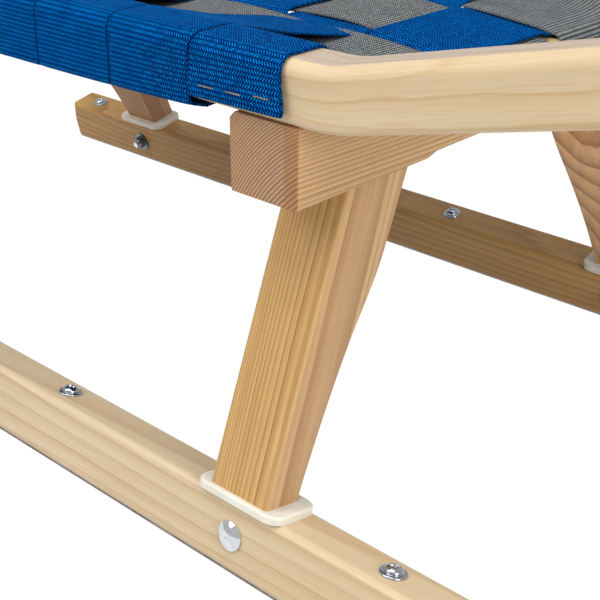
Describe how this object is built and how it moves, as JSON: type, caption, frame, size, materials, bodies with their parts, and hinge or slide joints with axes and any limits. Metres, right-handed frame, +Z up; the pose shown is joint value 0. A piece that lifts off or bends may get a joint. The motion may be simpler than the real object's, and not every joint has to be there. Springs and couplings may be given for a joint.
{
  "type": "two-seater wooden sled",
  "caption": "Two-seater wooden sled: canted runners that sweep up at the front, splayed legs under crossbars, side rails and a seat of woven blue and grey webbing.",
  "frame": {"origin": "bottom centre of the whole sled, on the ground under the middle of its length and width", "axes": "+X forward, towards the upturned tips; +Y to the left; +Z up"},
  "size_m": [1.1552, 0.4374, 0.3929],
  "materials": {
    "runner_wood": "satin lacquer",
    "rail_wood": "satin lacquer",
    "crossbar_wood": "satin lacquer",
    "leg_wood": "satin lacquer",
    "runner_steel": "drawn steel",
    "collar_plastic": "smooth",
    "bolt_steel": "bright zinc",
    "nut_steel": "zinc",
    "screw_steel": "zinc",
    "blue_webbing": "ribbed webbing",
    "grey_webbing": "ribbed webbing"
  },
  "bodies": {
    "root": {"collar_front_left": "collar_plastic", "collar_front_right": "collar_plastic", "collar_rear_left": "collar_plastic", "collar_rear_right": "collar_plastic", "cross_band_1": "blue_webbing", "cross_band_2": "blue_webbing", "cross_band_3": "blue_webbing", "cross_band_4": "blue_webbing", "cross_band_5": "blue_webbing", "cross_band_6": "blue_webbing", "cross_band_7": "blue_webbing", "cross_band_8": "blue_webbing", "cross_band_9": "blue_webbing", "crossbar_front": "crossbar_wood", "crossbar_rear": "crossbar_wood", "horn_bolts": "bolt_steel", "horn_nuts": "nut_steel", "leg_bolts": "bolt_steel", "leg_front_left": "leg_wood", "leg_front_right": "leg_wood", "leg_nuts": "nut_steel", "leg_rear_left": "leg_wood", "leg_rear_right": "leg_wood", "long_band_1": "grey_webbing", "long_band_2": "grey_webbing", "long_band_3": "grey_webbing", "rail_screws": "bolt_steel", "runner_left": "runner_wood", "runner_right": "runner_wood", "runner_screws_left": "screw_steel", "runner_screws_right": "screw_steel", "runner_strip_left": "runner_steel", "runner_strip_right": "runner_steel", "seat_rail_left": "rail_wood", "seat_rail_right": "rail_wood"}
  },
  "joints": []
}
